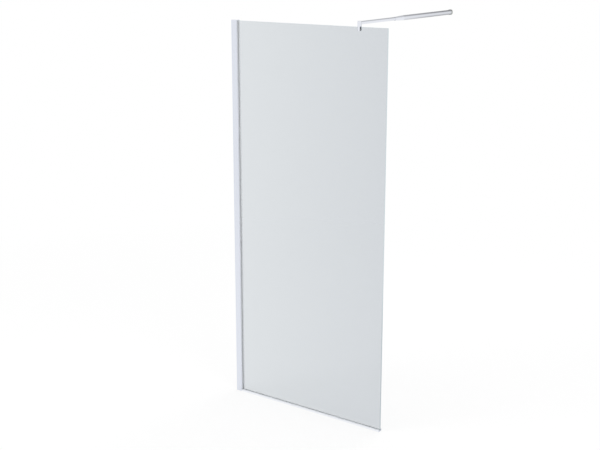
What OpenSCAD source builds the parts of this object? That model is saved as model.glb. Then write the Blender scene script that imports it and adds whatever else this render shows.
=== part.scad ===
// Walk-in shower screen: one fixed glass panel, held by a wall profile and a low
// floor channel, and steadied at its top by a telescopic bar to the back wall.
// X runs along the glass away from the side wall, Y from the front to the back
// wall, and Z is up. The origin is on the side wall's face, at floor level, in
// the middle of the glass's thickness. Everything is drawn with the profile
// pushed in, the clamp tight and the bar at its set length.

/* [Glass] */
// Width from the wall face to the free edge of the glass
screen_w = 900; // [700:10:1400]
// Height of the glass's top edge above the floor
screen_h = 2000; // [1700:10:2200]
// Thickness of the glass
glass_t = 8; // [6:1:10]
// Polished bevel along each edge of the glass
glass_bevel = 0.8; // [0.3:0.1:1.5]

/* [Glass profile] */
// Width of the profile's front face
profile_w = 33.5; // [33:0.5:45]
// Depth of the profile from its front face to its back face
profile_d = 28; // [28:0.5:44]
// Wall thickness of the profile
profile_wall = 1.6; // [1.2:0.1:2]
// Radius on the profile's long corners
profile_corner_r = 1; // [0.3:0.1:1.5]
// Gap left between the profile's edge and the wall
profile_wall_gap = 0.5; // [0.2:0.1:1]
// Depth of the pocket that takes the glass and its seals
pocket_depth = 16; // [12:0.5:16]
// Gap between the pocket's bottom and the glass's hidden edge
glass_edge_gap = 2; // [1:0.5:4]
// Number of edge blocks that fill that gap
edge_block_count = 3; // [2:1:6]
// Length of an edge block
edge_block_len = 60; // [20:5:100]
// Distance of the first and last edge blocks from the profile's ends
edge_block_end = 150; // [60:10:400]
// Thickness of the cap on the profile's top end
top_cap_t = 4; // [2:0.5:6]
// Length of the cap's pegs
top_cap_peg_len = 15; // [5:1:30]
// Thickness of the cap's pegs
top_cap_peg_t = 1.2; // [1:0.1:1.4]

/* [Wall channel] */
// Wall thickness of the channel that is screwed to the wall
channel_wall = 1.6; // [1.5:0.1:2]
// How far the channel's flanges reach from the wall
channel_reach = 29.7; // [28.5:0.1:29.7]
// Side clearance between the channel and the profile that slides over it
channel_gap = 0.4; // [0.3:0.1:0.5]
// Gap between the channel's top end and the cap
channel_top_gap = 1; // [0.5:0.5:5]
// How far the profile pulls out to suit an uneven wall
adjust_travel = 20; // [10:1:20]
// Diameter of the wall screw holes
wall_hole_d = 6; // [4:0.5:8]
// Number of wall screw holes
wall_hole_count = 4; // [2:1:8]
// Distance of the first and last wall screw holes from the ends
wall_hole_end = 100; // [40:5:300]

/* [Lock screws] */
// Number of screws that lock the profile to the channel
lock_count = 3; // [2:1:6]
// Distance of the first and last lock screws from the ends
lock_end = 200; // [60:10:400]
// Distance of the lock screws from the wall
lock_x = 6; // [6:0.1:6.5]
// Diameter of the lock screws
lock_d = 4; // [3:0.5:4]
// Length of a lock screw under its head
lock_len = 8; // [7.5:0.1:8.5]
// Diameter of the lock screws' heads
lock_head_d = 7.6; // [6:0.2:8]
// Height of the lock screws' heads
lock_head_h = 2.2; // [1.5:0.1:2.5]
// Width across the flats of the lock screws' hex sockets
lock_socket_af = 2.5; // [2:0.5:3]
// Width across the flats of the lock nuts
lock_nut_af = 7; // [5.5:0.5:7]
// Thickness of the lock nuts
lock_nut_t = 2.8; // [2:0.1:2.8]
// Outer diameter of the caps over the lock screws
lock_cap_d = 10.6; // [10.4:0.2:11]
// Height of the caps over the lock screws
lock_cap_h = 3.4; // [3.4:0.1:5]
// Wall thickness of those caps
lock_cap_wall = 0.8; // [0.6:0.1:0.8]

/* [Seals] */
// Room for a seal between the glass and its pocket's side
seal_t = 2.3; // [2:0.1:2.5]
// Clearance between a seal and the glass
seal_gap = 0.05; // [0.03:0.01:0.1]
// Thickness of the lip that closes a profile's mouth
seal_lip_t = 2; // [1:0.1:2]
// Gap between the seals and the pocket's bottom
seal_end_gap = 0.5; // [0.3:0.1:2]

/* [Floor channel] */
// Height of the floor channel
floor_h = 8.5; // [8:0.5:14]
// Wall thickness of the floor channel
floor_wall = 1.6; // [1.2:0.1:1.8]
// Thickness of the setting blocks under the glass
block_t = 2.2; // [1:0.1:2.4]
// Length of a setting block
block_len = 80; // [30:5:120]
// Number of setting blocks
block_count = 3; // [2:1:6]
// Distance of the first and last setting blocks from the channel's ends
block_end = 100; // [40:10:200]
// Thickness of the cap on the channel's free end
floor_cap_t = 2; // [1:0.5:4]
// Length of the end cap's pegs
floor_cap_peg_len = 8; // [3:1:20]
// Clearance round the end cap's pegs and its notch for the glass
floor_cap_gap = 0.2; // [0.1:0.05:0.4]

/* [Clamp] */
// Distance from the clamp's middle to the glass's free edge
clamp_from_edge = 155; // [60:5:400]
// Thickness of the clamp's front jaw, at its middle
clamp_front_t = 2.5; // [2:0.1:6]
// Thickness of the clamp's rear jaw, at its middle
clamp_rear_t = 3.1; // [2.5:0.1:6]
// How far the jaws reach down the glass
clamp_grip_h = 19; // [18:1:40]
// Gap between the glass's top edge and the clamp's slot
clamp_roof_gap = 2; // [0.5:0.5:3]
// Radius on the clamp's top edge
clamp_edge_r = 0.8; // [0.3:0.1:2]
// Metal left above the bar's upper side
clamp_rim = 1; // [0.5:0.5:5]
// Length of the boss between the clamp's post and the rod
clamp_boss_len = 4; // [2:0.5:10]
// Thickness of the front rubber pad
front_pad_t = 2; // [1:0.5:4]
// Thickness of the rear rubber pad
rear_pad_t = 1.5; // [1:0.5:4]
// Clearance between a pad and the glass
pad_gap = 0.1; // [0.05:0.05:0.3]
// Thickness of the pressure plate
plate_t = 1.5; // [1:0.5:4]
// How much smaller the pressure plate is than the jaws, on every side
plate_inset = 0.5; // [0.2:0.1:1]
// How far the pressure plate draws back when the screws are undone
grip_travel = 1; // [0.5:0.5:3]
// Room left behind the pressure plate when it is fully drawn back
grip_spare = 0.2; // [0.2:0.1:1]
// Diameter of the clamp screws
clamp_screw_d = 5; // [4:0.5:6]
// Length of the clamp screws
clamp_screw_len = 4; // [3.8:0.1:6]
// Distance between the two clamp screws
clamp_screw_pitch = 10; // [7:0.5:11]
// Width across the flats of the clamp screws' hex sockets
clamp_socket_af = 2.5; // [2:0.5:3]

/* [Stabiliser bar] */
// Distance from the middle of the glass to the back wall
bar_reach = 930; // [740:10:1200]
// Height of the bar's middle above the glass's top edge
bar_rise = 18; // [16:1:40]
// Outer diameter of the rod
rod_d = 17; // [14:0.5:18]
// Wall thickness of the rod
rod_wall = 1.5; // [1:0.1:2.5]
// Length of the rod
rod_len = 700; // [600:10:710]
// Length of the clamp's spigot inside the rod
spigot_len = 20; // [16:1:60]
// Outer diameter of the outer tube
tube_d = 25; // [24:0.5:32]
// Wall thickness of the outer tube
tube_wall = 1.5; // [1:0.1:2]
// Length of the outer tube
tube_len = 520; // [520:10:620]
// Length of the bush in the tube's mouth
bush_len = 30; // [20:1:60]
// Length of the bush's cone, which leads from the rod to the tube
bush_cone_len = 80; // [40:5:100]
// Wall thickness at the thin end of that cone
bush_tip_wall = 0.8; // [0.5:0.1:1.5]
// Length of the guide ring on the rod's inner end
guide_len = 12; // [6:1:30]
// Length of the guide ring's plug inside the rod
guide_plug_len = 15; // [8:1:40]
// Radial clearance of pieces that slide or push into each other
fit_gap = 0.05; // [0.03:0.01:0.1]
// Diameter of the bar's grub screws
grub_d = 4; // [3:0.5:5]
// Width across the flats of the grub screws' hex sockets
grub_socket_af = 2; // [1.5:0.5:2]
// How far the rod's grub screw bites into the spigot
rod_grub_bite = 3.5; // [3:0.5:6]

/* [Wall socket] */
// Wall thickness of the socket round the tube
socket_wall = 2; // [1.5:0.5:6]
// Depth of the socket's recess for the tube
socket_depth = 10; // [8:1:30]
// Thickness of the socket's back
socket_back = 4; // [2:0.5:8]
// Diameter of the hole for the wall screw
socket_hole_d = 5.5; // [4:0.5:8]
// Radius on the socket's front edge
socket_edge_r = 1; // [0.3:0.1:1.4]

/* [Hidden] */

$fn = 64;
cut = 1;              // overrun of a cutting shape past the face that it opens
hex = 6;              // sides of a hex socket or nut
recess_share = 0.6;   // how deep a hex socket goes, as a share of its screw's diameter

chrome_tint = [0.86, 0.88, 0.92];
metal_tint = [0.80, 0.82, 0.86];
seal_tint = [0.55, 0.57, 0.60];
pale_tint = [0.84, 0.85, 0.86];
rubber_tint = [0.13, 0.13, 0.14];
plastic_tint = [0.88, 0.89, 0.90];
steel_tint = [0.66, 0.67, 0.69];
glass_tint = [0.80, 0.87, 0.89, 0.45];

// Plan of the wall profile, measured from the wall face
profile_x0 = profile_wall_gap;
profile_x1 = profile_x0 + profile_w;
profile_half = profile_d / 2;
mouth_half = profile_half - profile_wall;
web_x1 = profile_x1 - seal_lip_t;
web_x0 = web_x1 - profile_wall;
pocket_x0 = profile_x1 - pocket_depth;
glass_half = glass_t / 2;
pocket_half = glass_half + seal_t;
rib_half = pocket_half + profile_wall;
glass_x0 = pocket_x0 + glass_edge_gap;

// The wall channel sits inside the profile
channel_half = mouth_half - channel_gap;
channel_inner_half = channel_half - channel_wall;
channel_h = screen_h - channel_top_gap;
nut_y1 = channel_inner_half - channel_gap;

// Heights in the floor channel, whose faces line up with the profile's
glass_z0 = floor_wall + block_t;
floor_web_z1 = floor_h - seal_lip_t;
floor_web_z0 = floor_web_z1 - floor_wall;
floor_mouth_half = profile_half - floor_wall;
floor_rib_half = pocket_half + floor_wall;
floor_x1 = screen_w - floor_cap_t;

// The clamp and the bar
clamp_x = screen_w - clamp_from_edge;
bar_z = screen_h + bar_rise;
rear_pad_y0 = glass_half + pad_gap;
plate_y0 = rear_pad_y0 + rear_pad_t;
plate_y1 = plate_y0 + plate_t;
slot_y0 = -(glass_half + pad_gap + front_pad_t);
slot_y1 = plate_y1 + grip_travel + grip_spare;
clamp_d = clamp_front_t + slot_y1 - slot_y0 + clamp_rear_t;
clamp_y = slot_y0 - clamp_front_t + clamp_d / 2;
clamp_z0 = screen_h - clamp_grip_h;
clamp_z1 = bar_z + rod_d / 2 + clamp_rim;
slot_z1 = screen_h + clamp_roof_gap;
clamp_screw_heights = [for (side = [-1, 1]) screen_h - (clamp_grip_h + side * clamp_screw_pitch) / 2];
rod_bore_d = rod_d - 2 * rod_wall;
spigot_d = rod_bore_d - 2 * fit_gap;
rod_y0 = clamp_y + clamp_d / 2 + clamp_boss_len;
rod_y1 = rod_y0 + rod_len;
rod_grub_y = rod_y0 + spigot_len / 2;
tube_bore_d = tube_d - 2 * tube_wall;
tube_y1 = bar_reach - socket_back;
tube_y0 = tube_y1 - tube_len;
tube_lock_y = tube_y0 + bush_len / 2;
socket_d = tube_d + 2 * (socket_wall + fit_gap);
socket_len = socket_back + socket_depth;
socket_grub_y = tube_y1 - socket_depth / 2;

// Where the repeated pieces sit
lock_heights = spread(lock_end, screen_h - lock_end, lock_count);
wall_hole_heights = spread(wall_hole_end, screen_h - wall_hole_end, wall_hole_count);
edge_block_heights = spread(edge_block_end, screen_h - edge_block_end, edge_block_count);
block_places = spread(profile_x1 + block_end, screen_w - block_end, block_count);

// A number of places, evenly spread from the first to the last
function spread(first, last, count) =
    [for (i = [0:count - 1]) first + i * (last - first) / (count - 1)];

module round_rect(x0, y0, x1, y1, r) {
    translate([x0 + r, y0]) square([x1 - x0 - 2 * r, y1 - y0]);
    translate([x0, y0 + r]) square([x1 - x0, y1 - y0 - 2 * r]);
    for (x = [x0 + r, x1 - r], y = [y0 + r, y1 - r])
        translate([x, y]) circle(r = r);
}

module bevelled_rect(x0, y0, x1, y1, b) {
    polygon([
        [x0 + b, y0], [x1 - b, y0], [x1, y0 + b], [x1, y1 - b],
        [x1 - b, y1], [x0 + b, y1], [x0, y1 - b], [x0, y0 + b]
    ]);
}

// Turns a drawing in X and Y into a length along X, with its X on Y and its Y on Z
module along_x(x0, x1) {
    translate([x0, 0, 0]) rotate([90, 0, 90]) linear_extrude(x1 - x0) children();
}

// Places what points up so that it points to the back wall
module facing_back(x, y, z) {
    translate([x, y, z]) rotate([-90, 0, 0]) children();
}

module hex_prism(af, h) {
    cylinder(d = af / cos(180 / hex), h = h, $fn = hex);
}

// A cylinder with its upper edge rounded
module round_topped(d, h, r) {
    rotate_extrude() {
        square([d / 2, h - r]);
        square([d / 2 - r, h]);
        translate([d / 2 - r, h - r]) circle(r = r);
    }
}

// A headless screw with its socket at the bottom end
module grub_screw(d, len, af) {
    difference() {
        cylinder(d = d, h = len);
        translate([0, 0, -cut]) hex_prism(af, cut + d * recess_share);
    }
}

// A seal's outline for one side: a leg along the glass and a lip over the mouth.
// Its X runs out of the pocket and its Y away from the glass.
module seal_outline(start, lip_start, lip_end, lip_half) {
    face = glass_half + seal_gap;
    translate([start, face]) square([lip_end - start, pocket_half - face]);
    translate([lip_start, face]) square([lip_end - lip_start, lip_half - face]);
}

module wall_channel() {
    slot_d = lock_d + 2 * channel_gap;
    color(metal_tint)
    difference() {
        linear_extrude(channel_h)
        difference() {
            translate([0, -channel_half]) square([channel_reach, 2 * channel_half]);
            translate([channel_wall, -channel_inner_half])
                square([channel_reach, 2 * channel_inner_half]);
        }
        for (z = wall_hole_heights)
            translate([-cut, 0, z]) rotate([0, 90, 0])
                cylinder(d = wall_hole_d, h = channel_wall + 2 * cut);
        for (z = lock_heights)
            facing_back(lock_x, channel_inner_half - cut, z)
                linear_extrude(channel_wall + 2 * cut) {
                    circle(d = slot_d);
                    translate([adjust_travel, 0]) circle(d = slot_d);
                    translate([0, -slot_d / 2]) square([adjust_travel, slot_d]);
                }
    }
}

module profile_outline() {
    difference() {
        round_rect(profile_x0, -profile_half, profile_x1, profile_half, profile_corner_r);
        difference() {
            translate([profile_x0 - cut, -mouth_half])
                square([web_x0 - profile_x0 + cut, 2 * mouth_half]);
            translate([pocket_x0 - profile_wall, -rib_half])
                square([pocket_depth, 2 * rib_half]);
        }
        translate([pocket_x0, -pocket_half]) square([pocket_depth + cut, 2 * pocket_half]);
        translate([web_x1, -mouth_half]) square([seal_lip_t + cut, 2 * mouth_half]);
    }
}

module glass_profile() {
    color(chrome_tint)
    difference() {
        linear_extrude(screen_h) profile_outline();
        for (z = lock_heights)
            facing_back(lock_x, mouth_half - cut, z)
                cylinder(d = lock_d + 2 * fit_gap, h = profile_wall + 2 * cut);
    }
}

module profile_top_cap() {
    color(chrome_tint) {
        translate([0, 0, screen_h]) linear_extrude(top_cap_t)
            round_rect(profile_x0, -profile_half, profile_x1, profile_half, profile_corner_r);
        for (side = [0, 1]) mirror([0, side, 0])
            translate([pocket_x0, rib_half, screen_h - top_cap_peg_len])
                cube([web_x0 - pocket_x0, top_cap_peg_t, top_cap_peg_len + top_cap_t / 2]);
    }
}

// A seal behind the glass; the front ones are its mirror images
module profile_seal() {
    linear_extrude(screen_h)
        seal_outline(pocket_x0 + seal_end_gap, web_x1, profile_x1, mouth_half);
}

module profile_seal_rear() {
    color(pale_tint) profile_seal();
}

module profile_seal_front() {
    color(seal_tint) mirror([0, 1, 0]) profile_seal();
}

module edge_blocks() {
    color(rubber_tint)
    for (z = edge_block_heights)
        translate([pocket_x0, -glass_half, z - edge_block_len / 2])
            cube([glass_edge_gap, glass_t, edge_block_len]);
}

module lock_screws() {
    color(steel_tint)
    for (z = lock_heights) facing_back(lock_x, profile_half, z)
        difference() {
            union() {
                translate([0, 0, -lock_len]) cylinder(d = lock_d, h = lock_len + cut);
                cylinder(d = lock_head_d, h = lock_head_h / 2);
                translate([0, 0, lock_head_h / 2])
                    cylinder(d1 = lock_head_d, d2 = lock_head_d - lock_head_h, h = lock_head_h / 2);
            }
            translate([0, 0, lock_head_h - lock_d * recess_share / 2])
                hex_prism(lock_socket_af, lock_head_h);
        }
}

module lock_nuts() {
    color(steel_tint)
    for (z = lock_heights) facing_back(lock_x, nut_y1 - lock_nut_t, z)
        difference() {
            rotate([0, 0, 180 / hex]) hex_prism(lock_nut_af, lock_nut_t);
            translate([0, 0, -cut]) cylinder(d = lock_d + 2 * fit_gap, h = lock_nut_t + 2 * cut);
        }
}

module lock_screw_caps() {
    color(chrome_tint)
    for (z = lock_heights) facing_back(lock_x, profile_half, z)
        difference() {
            union() {
                cylinder(d = lock_cap_d, h = lock_cap_h / 2);
                translate([0, 0, lock_cap_h / 2])
                    cylinder(d1 = lock_cap_d, d2 = lock_cap_d - lock_cap_h / 2, h = lock_cap_h / 2);
            }
            translate([0, 0, -cut])
                cylinder(d = lock_cap_d - 2 * lock_cap_wall, h = cut + lock_cap_h - lock_cap_wall);
        }
}

module glass_panel() {
    glass_w = screen_w - glass_x0;
    glass_h = screen_h - glass_z0;
    color(glass_tint)
    intersection() {
        translate([0, 0, glass_z0]) linear_extrude(glass_h)
            bevelled_rect(glass_x0, -glass_half, screen_w, glass_half, glass_bevel);
        along_x(glass_x0, glass_x0 + glass_w)
            bevelled_rect(-glass_half, glass_z0, glass_half, screen_h, glass_bevel);
    }
}

module floor_outline() {
    difference() {
        translate([-profile_half, 0]) square([profile_d, floor_h]);
        for (side = [0, 1]) mirror([side, 0])
            translate([floor_rib_half, floor_wall])
                square([floor_mouth_half - floor_rib_half, floor_web_z0 - floor_wall]);
        translate([-pocket_half, floor_wall]) square([2 * pocket_half, floor_h]);
        translate([-floor_mouth_half, floor_web_z1]) square([2 * floor_mouth_half, floor_h]);
    }
}

module floor_channel() {
    color(chrome_tint) along_x(profile_x1, floor_x1) floor_outline();
}

module floor_channel_end_cap() {
    notch_half = glass_half + floor_cap_gap;
    color(chrome_tint) {
        along_x(floor_x1, screen_w)
        difference() {
            translate([-profile_half, 0]) square([profile_d, floor_h]);
            translate([-notch_half, glass_z0 - floor_cap_gap]) square([2 * notch_half, floor_h]);
        }
        for (side = [0, 1]) mirror([0, side, 0])
            translate([floor_x1 - floor_cap_peg_len, floor_rib_half + floor_cap_gap,
                    floor_wall + floor_cap_gap])
                cube([floor_cap_peg_len + floor_cap_t / 2,
                    floor_mouth_half - floor_rib_half - 2 * floor_cap_gap,
                    floor_web_z0 - floor_wall - 2 * floor_cap_gap]);
    }
}

module floor_seal() {
    along_x(profile_x1, floor_x1) mirror([1, -1])
        seal_outline(floor_wall + seal_end_gap, floor_web_z1, floor_h, floor_mouth_half);
}

module floor_seal_rear() {
    color(pale_tint) floor_seal();
}

module floor_seal_front() {
    color(seal_tint) mirror([0, 1, 0]) floor_seal();
}

module setting_blocks() {
    color(rubber_tint)
    for (x = block_places)
        translate([x - block_len / 2, -glass_half, floor_wall]) cube([block_len, glass_t, block_t]);
}

module clamp_body() {
    color(chrome_tint)
    difference() {
        union() {
            translate([clamp_x, clamp_y, clamp_z0])
                round_topped(clamp_d, clamp_z1 - clamp_z0, clamp_edge_r);
            facing_back(clamp_x, clamp_y, bar_z) cylinder(d = rod_d, h = rod_y0 - clamp_y);
            facing_back(clamp_x, rod_y0 - cut, bar_z) cylinder(d = spigot_d, h = spigot_len + cut);
        }
        translate([clamp_x - clamp_d, slot_y0, clamp_z0 - cut])
            cube([2 * clamp_d, slot_y1 - slot_y0, slot_z1 - clamp_z0 + cut]);
        for (z = clamp_screw_heights)
            facing_back(clamp_x, slot_y1 - cut, z)
                cylinder(d = clamp_screw_d + 2 * fit_gap, h = clamp_rear_t + 2 * cut);
        translate([clamp_x, rod_grub_y, bar_z - rod_d / 2])
            cylinder(d = grub_d + 2 * fit_gap, h = rod_wall + rod_grub_bite + fit_gap);
    }
}

// A slab in the clamp's slot whose ends follow the post's round outline
module clamp_slab(y0, t, z0, z1, inset) {
    intersection() {
        translate([clamp_x, clamp_y, z0]) cylinder(d = clamp_d - 2 * inset, h = z1 - z0);
        translate([clamp_x - clamp_d, y0, z0 - cut]) cube([2 * clamp_d, t, z1 - z0 + 2 * cut]);
    }
}

module clamp_pad_front() {
    color(rubber_tint) clamp_slab(slot_y0, front_pad_t, clamp_z0, screen_h - plate_inset, 0);
}

module clamp_pad_rear() {
    color(pale_tint) clamp_slab(rear_pad_y0, rear_pad_t, clamp_z0, screen_h - plate_inset, 0);
}

module clamp_pressure_plate() {
    color(steel_tint)
    clamp_slab(plate_y0, plate_t, clamp_z0 + plate_inset, screen_h - plate_inset, plate_inset);
}

module clamp_screws() {
    color(steel_tint)
    for (z = clamp_screw_heights)
        translate([clamp_x, plate_y1 + clamp_screw_len, z]) rotate([90, 0, 0])
            grub_screw(clamp_screw_d, clamp_screw_len, clamp_socket_af);
}

module inner_rod() {
    color(chrome_tint)
    difference() {
        facing_back(clamp_x, rod_y0, bar_z) cylinder(d = rod_d, h = rod_len);
        facing_back(clamp_x, rod_y0 - cut, bar_z) cylinder(d = rod_bore_d, h = rod_len + 2 * cut);
        translate([clamp_x, rod_grub_y, bar_z - rod_d / 2 - cut])
            cylinder(d = grub_d + 2 * fit_gap, h = rod_wall + 2 * cut);
    }
}

module rod_grub_screw() {
    color(steel_tint)
    translate([clamp_x, rod_grub_y, bar_z - rod_d / 2])
        grub_screw(grub_d, rod_wall + rod_grub_bite, grub_socket_af);
}

module rod_guide_ring() {
    guide_d = tube_bore_d - 2 * fit_gap;
    color(plastic_tint)
    difference() {
        union() {
            facing_back(clamp_x, rod_y1, bar_z) cylinder(d = guide_d, h = guide_len);
            facing_back(clamp_x, rod_y1 - guide_plug_len, bar_z)
                cylinder(d = spigot_d, h = guide_plug_len + guide_len / 2);
        }
        facing_back(clamp_x, rod_y1 - guide_plug_len - cut, bar_z)
            cylinder(d = rod_bore_d / 2, h = guide_plug_len + guide_len + 2 * cut);
    }
}

module outer_tube() {
    color(chrome_tint)
    difference() {
        facing_back(clamp_x, tube_y0, bar_z) cylinder(d = tube_d, h = tube_len);
        facing_back(clamp_x, tube_y0 - cut, bar_z) cylinder(d = tube_bore_d, h = tube_len + 2 * cut);
        translate([clamp_x, tube_lock_y, bar_z - tube_d / 2 - cut])
            cylinder(d = grub_d + 2 * fit_gap, h = tube_wall + 2 * cut);
    }
}

module tube_bush() {
    bush_bore_d = rod_d + 2 * fit_gap;
    color(chrome_tint)
    difference() {
        union() {
            facing_back(clamp_x, tube_y0, bar_z) cylinder(d = tube_bore_d, h = bush_len);
            facing_back(clamp_x, tube_y0 - bush_cone_len, bar_z)
                cylinder(d1 = bush_bore_d + 2 * bush_tip_wall, d2 = tube_d, h = bush_cone_len);
        }
        facing_back(clamp_x, tube_y0 - bush_cone_len - cut, bar_z)
            cylinder(d = bush_bore_d, h = bush_cone_len + bush_len + 2 * cut);
        translate([clamp_x, tube_lock_y, bar_z - tube_d / 2 - cut])
            cylinder(d = grub_d + 2 * fit_gap, h = tube_d / 2);
    }
}

module tube_lock_screw() {
    color(steel_tint)
    translate([clamp_x, tube_lock_y, bar_z - tube_d / 2])
        grub_screw(grub_d, (tube_d - rod_d) / 2 - fit_gap, grub_socket_af);
}

module wall_socket() {
    inner_d = tube_d + 2 * fit_gap;
    color(chrome_tint)
    translate([clamp_x, bar_reach, bar_z]) rotate([90, 0, 0])
    difference() {
        round_topped(socket_d, socket_len, socket_edge_r);
        translate([0, 0, socket_back]) cylinder(d = inner_d, h = socket_depth + cut);
        translate([0, 0, -cut]) cylinder(d = socket_hole_d, h = socket_back + 2 * cut);
        translate([0, 0, bar_reach - socket_grub_y]) rotate([90, 0, 0])
            cylinder(d = grub_d + 2 * fit_gap, h = socket_d / 2 + cut);
    }
}

module socket_grub_screw() {
    color(steel_tint)
    translate([clamp_x, socket_grub_y, bar_z - socket_d / 2])
        grub_screw(grub_d, socket_wall + fit_gap, grub_socket_af);
}

wall_channel();
glass_profile();
profile_top_cap();
profile_seal_front();
profile_seal_rear();
edge_blocks();
lock_screws();
lock_nuts();
lock_screw_caps();
glass_panel();
floor_channel();
floor_channel_end_cap();
floor_seal_front();
floor_seal_rear();
setting_blocks();
clamp_body();
clamp_pad_front();
clamp_pad_rear();
clamp_pressure_plate();
clamp_screws();
inner_rod();
rod_grub_screw();
rod_guide_ring();
outer_tube();
tube_bush();
tube_lock_screw();
wall_socket();
socket_grub_screw();
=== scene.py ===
import math

import bmesh
import bpy
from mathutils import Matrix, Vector


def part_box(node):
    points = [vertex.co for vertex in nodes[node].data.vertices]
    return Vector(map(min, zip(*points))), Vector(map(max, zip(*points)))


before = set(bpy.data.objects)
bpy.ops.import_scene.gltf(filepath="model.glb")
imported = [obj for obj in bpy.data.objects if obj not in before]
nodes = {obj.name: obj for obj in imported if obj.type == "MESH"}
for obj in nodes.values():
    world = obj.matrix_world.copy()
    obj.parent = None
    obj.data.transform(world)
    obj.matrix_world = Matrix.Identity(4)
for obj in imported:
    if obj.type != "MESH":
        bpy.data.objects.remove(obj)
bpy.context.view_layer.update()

scene = bpy.context.scene
scene.view_settings.view_transform = "Standard"


class Wire:
    # one socket of a shader tree, usable in plain sums
    def __init__(self, sheet, socket):
        self.sheet = sheet
        self.socket = socket

    def __add__(self, other):
        return self.sheet.maths("ADD", self, other)

    def __sub__(self, other):
        return self.sheet.maths("SUBTRACT", self, other)

    def __rsub__(self, other):
        return self.sheet.maths("SUBTRACT", other, self)

    def __mul__(self, other):
        return self.sheet.maths("MULTIPLY", self, other)

    def __pow__(self, other):
        return self.sheet.maths("POWER", self, other)

    __radd__ = __add__
    __rmul__ = __mul__


class Sheet:
    # a shader tree being drawn
    def __init__(self, tree):
        self.tree = tree
        tree.nodes.clear()

    def add(self, kind, settings=None, sockets=None):
        made = self.tree.nodes.new(kind)
        for name, value in (settings or {}).items():
            setattr(made, name, value)
        for name, value in (sockets or {}).items():
            if isinstance(value, Wire):
                self.tree.links.new(value.socket, made.inputs[name])
            else:
                made.inputs[name].default_value = value
        return made

    def wire(self, kind, settings=None, sockets=None, output=0):
        return Wire(self, self.add(kind, settings, sockets).outputs[output])

    def maths(self, operation, first, second=0.0):
        return self.wire("ShaderNodeMath", {"operation": operation}, {0: first, 1: second})

    def vector(self, operation, first, second=(0.0, 0.0, 0.0), output=0):
        return self.wire("ShaderNodeVectorMath", {"operation": operation},
                         {0: first, 1: second}, output)

    def split(self, vector):
        made = self.add("ShaderNodeSeparateXYZ", {}, {0: vector})
        return [Wire(self, made.outputs[axis]) for axis in "XYZ"]

    def clampedRange(self, value, fromLow, fromHigh, toLow, toHigh):
        return self.wire("ShaderNodeMapRange", {"clamp": True}, {
            "Value": value, "From Min": fromLow, "From Max": fromHigh,
            "To Min": toLow, "To Max": toHigh})

    def mixColour(self, factor, first, second):
        # sockets 6 and 7 and output 2 are the Mix node's colours
        return self.wire("ShaderNodeMix", {"data_type": "RGBA"}, {
            0: factor, 6: colour(first), 7: colour(second)}, output=2)

    def grey(self, level):
        return self.mixColour(level, (0.0, 0.0, 0.0), (1.0, 1.0, 1.0))

    def coordinate(self, which):
        return self.wire("ShaderNodeTexCoord", output=which)

    def grain(self, scale, stretch=(1.0, 1.0, 1.0), detail=2.0):
        # a noise from 0 to 1, drawn out along the axis whose stretch is small
        spread = self.vector("MULTIPLY", self.coordinate("Object"), stretch)
        return self.wire("ShaderNodeTexNoise", {"noise_dimensions": "3D"}, {
            "Vector": spread, "Scale": scale, "Detail": detail})

    def bump(self, height, strength, distance):
        return self.wire("ShaderNodeBump", {}, {
            "Height": height, "Strength": strength, "Distance": distance})

    def finish(self, shader, kind="ShaderNodeOutputMaterial"):
        self.add(kind, {}, {"Surface": shader})


def colour(value):
    # a wire stays as it is, and red, green and blue become an opaque colour
    return value if isinstance(value, Wire) else (*value, 1.0)


def newMaterial(name):
    material = bpy.data.materials.new(name)
    material.use_nodes = True
    return material, Sheet(material.node_tree)


# Camera at the photo's angle: above the screen's top, to its right and in front
cameraLook = {
    "place": (3.2756, -4.1384, 2.3784),
    "turn": 34.691,        # degrees to the left of straight ahead
    "dip": 14.024,         # degrees below level
    "focalPixels": 1034.5,
    "pictureWidth": 600,
    "risePixels": 24,      # how far the picture is shifted up
    "sensor": 36.0,
}


def makeCamera(look):
    width = look["pictureWidth"]
    data = bpy.data.cameras.new("photoCamera")
    data.sensor_width = look["sensor"]
    data.lens = look["focalPixels"] / width * look["sensor"]
    data.shift_y = -look["risePixels"] / width
    camera = bpy.data.objects.new("photoCamera", data)
    camera.location = look["place"]
    camera.rotation_euler = (math.radians(90 - look["dip"]), 0, math.radians(look["turn"]))
    scene.collection.objects.link(camera)
    scene.camera = camera


makeCamera(cameraLook)
print("camera set")

# The studio: white all round for the camera. Metal mirrors the same white, with a greyer sky
# high up and the left half of a round grey card straight behind the screen. The card's soft rim
# lies where the near end of the bar looks, so the bar's dark lines deepen towards the wall.
domeLook = {
    "ambient": 0.80,       # what lights the matt surfaces
    "skyStart": math.sin(math.radians(16)),
    "skyEnd": math.sin(math.radians(42)),
    "skyLevel": 0.42,
    "cardEdge": math.cos(math.radians(32)),
    "cardCore": math.cos(math.radians(27)),
    "cardLevel": 0.40,
    "cardRight": 0.55,     # where the half card ends on its right, and where it is full
    "cardFull": 0.05,
    "cardLow": -0.40,      # from here to cardHigh the card goes from its low share to full
    "cardHigh": 0.10,
    "lowShare": 0.80,
}


def mirrorLevel(sheet, direction, look):
    # how bright the metal sees the studio in one direction
    right, ahead, height = sheet.split(direction)
    sky = sheet.clampedRange(height, look["skyStart"], look["skyEnd"], 1.0, look["skyLevel"])
    card = sheet.clampedRange(ahead, look["cardEdge"], look["cardCore"],
                              0.0, 1 - look["cardLevel"])
    half = sheet.clampedRange(right, look["cardRight"], look["cardFull"], 0.0, 1.0)
    depth = sheet.clampedRange(height, look["cardLow"], look["cardHigh"], look["lowShare"], 1.0)
    return sky * (1 - card * half * depth)


def rayKinds(sheet):
    # 1 for rays straight from the camera or through the glass, and 1 for mirrored ones
    ray = sheet.add("ShaderNodeLightPath")
    isGlossy, isCamera, isThrough = (
        Wire(sheet, ray.outputs[name])
        for name in ("Is Glossy Ray", "Is Camera Ray", "Is Transmission Ray"))
    return sheet.maths("MAXIMUM", isCamera, isThrough), isGlossy


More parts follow.
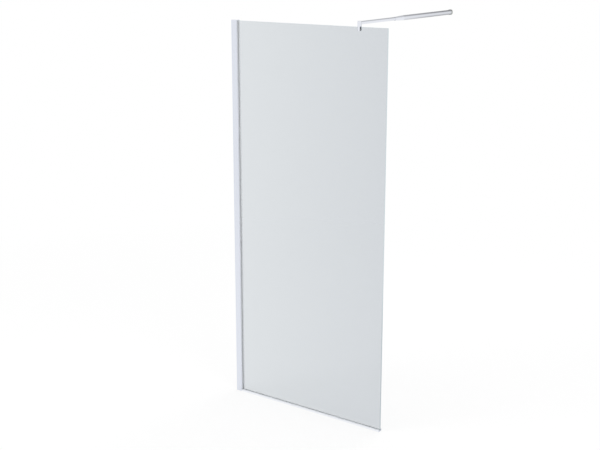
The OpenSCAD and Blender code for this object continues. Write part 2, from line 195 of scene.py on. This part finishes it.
def makeDome(look):
    world = bpy.data.worlds.new("studioDome")
    scene.world = world
    world.use_nodes = True
    sheet = Sheet(world.node_tree)
    direct, mirrored = rayKinds(sheet)
    mirrorShade = mirrorLevel(sheet, sheet.coordinate("Generated"), look)
    unseen = mirrored * mirrorShade + (1 - mirrored) * look["ambient"]
    level = direct + (1 - direct) * unseen
    sheet.finish(sheet.wire("ShaderNodeBackground", {}, {"Color": sheet.grey(level)}),
                 "ShaderNodeOutputWorld")


makeDome(domeLook)

# Soft lamps: a key from the front left, a fill from the right and one from behind
lampLooks = {
    "keyLamp": {"place": (-2.2, -3.4, 3.6), "size": 2.4, "power": 60},
    "fillLamp": {"place": (3.6, -1.6, 2.6), "size": 2.0, "power": 26},
    "rearLamp": {"place": (0.6, 3.6, 3.2), "size": 2.2, "power": 34},
}
lampAim = (0.45, 0.2, 1.0)    # the middle of the screen, a little behind its glass


def makeLamps(looks, aim):
    for name, look in looks.items():
        data = bpy.data.lights.new(name, "AREA")
        data.shape = "DISK"
        data.size = look["size"]
        data.energy = look["power"]
        lamp = bpy.data.objects.new(name, data)
        lamp.visible_camera = False
        lamp.visible_glossy = False        # the chrome mirrors the dome alone
        lamp.visible_transmission = False  # and the glass shows only what is behind it
        lamp.location = look["place"]
        away = lamp.location - Vector(aim)
        lamp.rotation_euler = away.to_track_quat("Z", "Y").to_euler()
        scene.collection.objects.link(lamp)


makeLamps(lampLooks, lampAim)

# Plain white floor, which only the object's soft shadow tints; far off it is as white as the dome
floorLook = {
    "radius": 14.0,
    "corners": 96,
    "white": 0.96,
    "shadowShare": 0.22,    # how much of the real shadow shows close to the object
    "shadowNear": 1.2,      # metres from the middle where the shadow starts to fade
    "shadowFar": 3.6,       # and where it is gone
    "seenFrom": (0.745, 0.5, 2.018),    # middle of the bar, whose chrome mirrors the floor
}


def makeFloor(look):
    mesh = bpy.data.meshes.new("studioFloor")
    shape = bmesh.new()
    bmesh.ops.create_circle(shape, cap_ends=True, segments=look["corners"], radius=look["radius"])
    shape.to_mesh(mesh)
    shape.free()
    floor = bpy.data.objects.new("studioFloor", mesh)
    scene.collection.objects.link(floor)
    material, sheet = newMaterial("whiteFloor")
    direct, mirrored = rayKinds(sheet)
    place = sheet.coordinate("Object")
    direction = sheet.vector("NORMALIZE", sheet.vector("SUBTRACT", place, look["seenFrom"]))
    level = direct + (1 - direct) * mirrorLevel(sheet, direction, domeLook)
    lit = sheet.wire("ShaderNodeBsdfDiffuse", {}, {"Color": colour([look["white"]] * 3)})
    glow = sheet.wire("ShaderNodeEmission", {}, {"Color": sheet.grey(level)})
    distance = sheet.vector("LENGTH", place, output="Value")
    shadow = sheet.clampedRange(distance, look["shadowNear"], look["shadowFar"],
                                look["shadowShare"], 0.0)
    glowShare = sheet.maths("MAXIMUM", direct, mirrored) * (1 - shadow)
    sheet.finish(sheet.wire("ShaderNodeMixShader", {}, {0: glowShare, 1: lit, 2: glow}))
    mesh.materials.append(material)


makeFloor(floorLook)
print("studio set")

# Bright anodised aluminium: faint die lines along the length of the extrusion
aluminiumLook = {
    "light": (0.765, 0.795, 0.862),
    "dark": (0.725, 0.755, 0.832),
    "hazeScale": 6.0,
    "hazeShare": 0.5,       # the rest of the shade comes from the lines
    "roughness": 0.13,
    "lineRoughness": 0.09,
    "lineScale": 900.0,
    "lineStretch": 0.006,
    "lineDetail": 3.0,
    "lineDepth": 0.00002,
    "lineBump": 0.12,
}

# The floor channel has the paler finish of the two
floorChannelLook = dict(aluminiumLook, light=(0.93, 0.945, 0.975), dark=(0.90, 0.915, 0.95))

# Plain extruded aluminium of the hidden channel
millLook = dict(
    aluminiumLook, light=(0.66, 0.67, 0.69), dark=(0.54, 0.55, 0.57), roughness=0.30,
    lineRoughness=0.18, lineScale=500.0, lineStretch=0.004, lineDepth=0.00008, lineBump=0.35)


def drawnAlong(along, share):
    # a grain's stretch that turns it into lines along one axis
    return [share if axis == along else 1.0 for axis in "XYZ"]


def extrudedAluminium(name, along, look):
    material, sheet = newMaterial(name)
    lines = sheet.grain(look["lineScale"], drawnAlong(along, look["lineStretch"]),
                        look["lineDetail"])
    haze = sheet.grain(look["hazeScale"])
    shade = haze * look["hazeShare"] + lines * (1 - look["hazeShare"])
    sheet.finish(sheet.wire("ShaderNodeBsdfPrincipled", {}, {
        "Base Color": sheet.mixColour(shade, look["dark"], look["light"]),
        "Metallic": 1.0,
        "Roughness": look["roughness"] + lines * look["lineRoughness"],
        "Normal": sheet.bump(lines, look["lineBump"], look["lineDepth"]),
    }))
    return material


# Chrome: mirror bright with a breath of haze
chromeLook = {
    "light": (0.80, 0.82, 0.875),
    "dark": (0.765, 0.785, 0.845),
    "roughness": 0.035,
    "hazeRoughness": 0.06,
    "hazeScale": 14.0,
    "hazeDetail": 5.0,
    "hazePower": 2,         # gathers the haze into fewer, clearer clouds
    "waveScale": 60.0,
    "waveDepth": 0.00002,
    "waveBump": 0.08,
}

# Chromed plastic of the caps: slightly softer, with the moulding's faint ripple
capLook = dict(chromeLook, roughness=0.09, hazeRoughness=0.08, waveScale=180.0, waveBump=0.2)

# The wall socket's plating is a neutral, duller grey
socketLook = dict(chromeLook, light=(0.60, 0.61, 0.60), dark=(0.54, 0.55, 0.54), roughness=0.12)


def brightChrome(name, look):
    material, sheet = newMaterial(name)
    haze = sheet.grain(look["hazeScale"], detail=look["hazeDetail"])
    waves = sheet.grain(look["waveScale"])
    sheet.finish(sheet.wire("ShaderNodeBsdfPrincipled", {}, {
        "Base Color": sheet.mixColour(haze, look["dark"], look["light"]),
        "Metallic": 1.0,
        "Roughness": look["roughness"] + haze ** look["hazePower"] * look["hazeRoughness"],
        "Normal": sheet.bump(waves, look["waveBump"], look["waveDepth"]),
    }))
    return material


# Clear toughened glass: cool grey, with painted shade making it darker towards the free edge, and
# with polished edges
glassLook = {
    # painted shade: across its width the pane goes from the wallSide colour to the darker
    # freeSide colour
    "wallSide": (0.725, 0.755, 0.778),
    "freeSide": (0.645, 0.674, 0.705),
    "faceLimit": 0.9,                  # a surface that looks less to the front or back is an edge
    "edgeHigh": (0.55, 0.65, 0.69),
    "edgeLow": (0.31, 0.385, 0.43),    # painted shade: the free edge is darker near the floor
    "edgeLowTo": 0.56,                 # metres up to which it is dark, and from which it is light
    "edgeHighFrom": 0.76,
    "held": (0.97, 0.98, 0.985),       # painted light: paler where the profile and the channel hold it, lifting the shade on the seals seen through it
    "heldFade": 0.012,
    "roughness": 0.0,
    "edgeRoughness": 0.12,
    "index": 1.0,                      # the view goes straight through; the coat gives the shine
    "coatIndex": 1.50,
}


def clearGlass(name, look):
    low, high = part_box("glass_panel")
    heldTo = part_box("glass_profile")[1][0]
    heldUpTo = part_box("floor_channel")[1][2]
    material, sheet = newMaterial(name)
    across, _, height = sheet.split(sheet.coordinate("Object"))
    share = sheet.clampedRange(across, low[0], high[0], 0.0, 1.0)
    # painted light: the glass is painted paler where the profile and the channel hold it, fading
    # out just beyond them
    fromProfile = sheet.clampedRange(across, heldTo, heldTo + look["heldFade"], 0.0, 1.0)
    fromChannel = sheet.clampedRange(height, heldUpTo, heldUpTo + look["heldFade"], 0.0, 1.0)
    # painted shade: darker towards the free edge
    pane = sheet.mixColour(share, look["wallSide"], look["freeSide"])
    face = sheet.mixColour(fromProfile * fromChannel, look["held"], pane)
    facing = sheet.maths("ABSOLUTE", sheet.split(sheet.coordinate("Normal"))[1])
    isEdge = sheet.maths("LESS_THAN", facing, look["faceLimit"])
    # painted shade: the edge is painted darker towards the floor
    upTheEdge = sheet.clampedRange(height, look["edgeLowTo"], look["edgeHighFrom"], 0.0, 1.0)
    edge = sheet.mixColour(upTheEdge, look["edgeLow"], look["edgeHigh"])
    sheet.finish(sheet.wire("ShaderNodeBsdfPrincipled", {}, {
        "Base Color": sheet.mixColour(isEdge, face, edge),
        "Roughness": look["roughness"] + isEdge * look["edgeRoughness"],
        "IOR": look["index"],
        "Transmission Weight": 1.0,
        "Coat Weight": 1.0,
        "Coat Roughness": 0.0,
        "Coat IOR": look["coatIndex"],
    }))
    return material


# Grey seal strips: matt, with drawn lines along their length
sealLook = {
    "light": (0.70, 0.72, 0.76),
    "dark": (0.62, 0.64, 0.68),
    "roughness": 0.55,
    "lineRoughness": 0.2,
    "lineScale": 700.0,
    "lineStretch": 0.01,
    "lineBump": 0.3,
    "lineDepth": 0.0001,
}

# The channel's strip is lighter
floorSealLook = dict(sealLook, light=(0.84, 0.86, 0.90), dark=(0.76, 0.78, 0.82))

# The strips and the pad behind the glass are a pale, milky kind
paleLook = dict(sealLook, light=(0.95, 0.955, 0.96), dark=(0.92, 0.925, 0.935), roughness=0.45)


def sealStrip(name, along, look):
    material, sheet = newMaterial(name)
    lines = sheet.grain(look["lineScale"], drawnAlong(along, look["lineStretch"]))
    sheet.finish(sheet.wire("ShaderNodeBsdfPrincipled", {}, {
        "Base Color": sheet.mixColour(lines, look["dark"], look["light"]),
        "Roughness": look["roughness"] + lines * look["lineRoughness"],
        "Normal": sheet.bump(lines, look["lineBump"], look["lineDepth"]),
    }))
    return material


# Black rubber of the pads and blocks
rubberLook = {
    "light": (0.040, 0.040, 0.043),
    "dark": (0.018, 0.018, 0.020),
    "roughness": 0.60,
    "cloudScale": 40.0,
    "cloudShare": 0.6,      # the rest of the shade comes from the grain
    "grainScale": 2500.0,
    "grainDetail": 3.0,
    "grainRoughness": 0.15,
    "grainBump": 0.4,
    "grainDepth": 0.00006,
}

# Natural nylon of the guide ring
nylonLook = dict(
    rubberLook, light=(0.80, 0.81, 0.82), dark=(0.74, 0.75, 0.765), roughness=0.38,
    grainScale=900.0, grainBump=0.15, grainDepth=0.00004)


def mouldedPlastic(name, look):
    material, sheet = newMaterial(name)
    grain = sheet.grain(look["grainScale"], detail=look["grainDetail"])
    cloud = sheet.grain(look["cloudScale"])
    shade = grain * (1 - look["cloudShare"]) + cloud * look["cloudShare"]
    sheet.finish(sheet.wire("ShaderNodeBsdfPrincipled", {}, {
        "Base Color": sheet.mixColour(shade, look["dark"], look["light"]),
        "Roughness": look["roughness"] + grain * look["grainRoughness"],
        "Normal": sheet.bump(grain, look["grainBump"], look["grainDepth"]),
    }))
    return material


# Zinc-bright steel of the screws, nuts and pressure plate
steelLook = {
    "light": (0.66, 0.66, 0.68),
    "dark": (0.48, 0.49, 0.51),
    "roughness": 0.22,
    "stainScale": 90.0,
    "stainDetail": 3.0,
    "grainScale": 1200.0,
    "grainDetail": 4.0,
    "grainRoughness": 0.18,
    "grainBump": 0.2,
    "grainDepth": 0.00003,
}


def plainSteel(name, look):
    material, sheet = newMaterial(name)
    grain = sheet.grain(look["grainScale"], detail=look["grainDetail"])
    stain = sheet.grain(look["stainScale"], detail=look["stainDetail"])
    sheet.finish(sheet.wire("ShaderNodeBsdfPrincipled", {}, {
        "Base Color": sheet.mixColour(stain, look["dark"], look["light"]),
        "Metallic": 1.0,
        "Roughness": look["roughness"] + grain * look["grainRoughness"],
        "Normal": sheet.bump(grain, look["grainBump"], look["grainDepth"]),
    }))
    return material


# Each finish and the nodes that wear it
finishes = {
    extrudedAluminium("polishedUpright", "Z", aluminiumLook): ["glass_profile"],
    extrudedAluminium("polishedFloor", "X", floorChannelLook): ["floor_channel"],
    extrudedAluminium("millAluminium", "Z", millLook): ["wall_channel"],
    brightChrome("chromedPlastic", capLook): [
        "profile_top_cap", "lock_screw_caps", "floor_channel_end_cap"],
    brightChrome("brightChrome", chromeLook): [
        "clamp_body", "inner_rod", "tube_bush", "outer_tube"],
    brightChrome("dullPlating", socketLook): ["wall_socket"],
    clearGlass("clearGlass", glassLook): ["glass_panel"],
    sealStrip("sealUpright", "Z", sealLook): ["profile_seal_front"],
    sealStrip("sealFloor", "X", floorSealLook): ["floor_seal_front"],
    sealStrip("paleUpright", "Z", paleLook): ["profile_seal_rear", "clamp_pad_rear"],
    sealStrip("paleFloor", "X", paleLook): ["floor_seal_rear"],
    mouldedPlastic("blackRubber", rubberLook): [
        "edge_blocks", "setting_blocks", "clamp_pad_front"],
    mouldedPlastic("whiteNylon", nylonLook): ["rod_guide_ring"],
    plainSteel("plainSteel", steelLook): [
        "lock_screws", "lock_nuts", "clamp_pressure_plate", "clamp_screws",
        "rod_grub_screw", "tube_lock_screw", "socket_grub_screw"],
}

for finish, names in finishes.items():
    for name in names:
        for materialSlot in nodes[name].material_slots:
            materialSlot.material = finish
print("finishes on", sum(len(names) for names in finishes.values()), "nodes")
